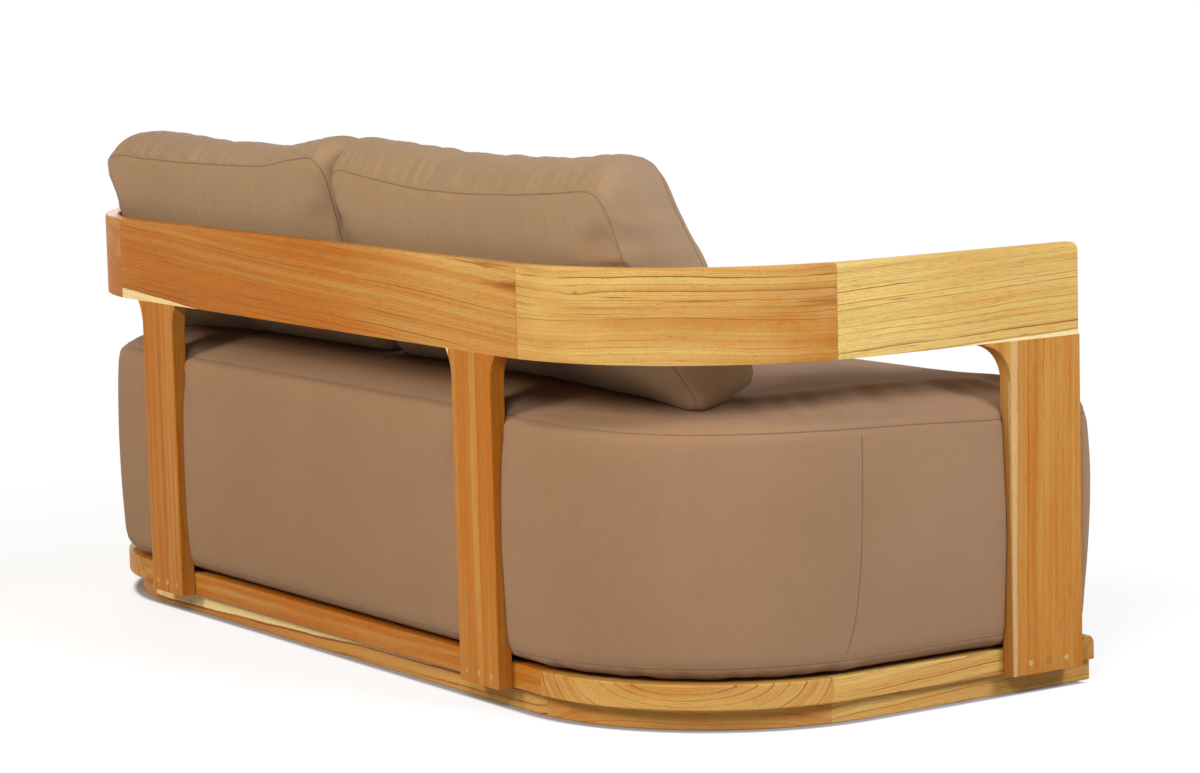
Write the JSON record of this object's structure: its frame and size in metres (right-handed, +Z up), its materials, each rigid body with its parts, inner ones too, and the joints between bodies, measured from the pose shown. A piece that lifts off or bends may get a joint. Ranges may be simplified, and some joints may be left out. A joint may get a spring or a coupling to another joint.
{
  "type": "patio loveseat",
  "caption": "Deep outdoor loveseat: a hooped teak rail on flat posts over a low base, with a thick seat cushion notched round the posts and loose back cushions",
  "frame": {"origin": "on the floor, under the middle of the bounding box", "axes": "+X to the sitter's left, along the seat's width; -Y the way the seat faces; +Z up"},
  "size_m": [1.82, 0.752, 0.7608],
  "materials": {
    "teak": "oiled, satin",
    "deck_timber": "sawn, matte",
    "dowel_wood": "matte",
    "plug_wood": "satin",
    "screw_steel": "satin",
    "cushion_fabric": "woven, matte"
  },
  "bodies": {
    "frame": {"back_rail": "teak", "left_arm_rail": "teak", "right_arm_rail": "teak", "left_corner_rail_lower": "teak", "right_corner_rail_lower": "teak", "left_corner_rail_upper": "teak", "right_corner_rail_upper": "teak", "left_back_post": "teak", "right_back_post": "teak", "left_arm_post": "teak", "right_arm_post": "teak", "ring_back": "teak", "ring_front": "teak", "ring_left_corner": "teak", "ring_right_corner": "teak", "ring_left_side": "teak", "ring_right_side": "teak", "plinth_back": "teak", "plinth_front": "teak", "plinth_left_corner": "teak", "plinth_right_corner": "teak", "plinth_left_side": "teak", "plinth_right_side": "teak", "deck_slats": "deck_timber", "back_cleat": "deck_timber", "front_cleat": "deck_timber", "left_corner_block": "deck_timber", "right_corner_block": "deck_timber", "rail_dowels": "dowel_wood", "post_dowels": "dowel_wood", "ring_dowels": "dowel_wood", "post_plugs": "plug_wood", "post_screws": "screw_steel", "base_screws": "screw_steel", "seat_cushion": "cushion_fabric"},
    "left_back_cushion": {"left_back_cushion": "cushion_fabric"},
    "right_back_cushion": {"right_back_cushion": "cushion_fabric"}
  },
  "joints": [
    {"name": "left_back_cushion_lift", "type": "slide", "parent": "frame", "child": "left_back_cushion", "axis": [0, 0, 1], "range_m": [0, 0.35]},
    {"name": "right_back_cushion_lift", "type": "slide", "parent": "frame", "child": "right_back_cushion", "axis": [0, 0, 1], "range_m": [0, 0.35]}
  ]
}
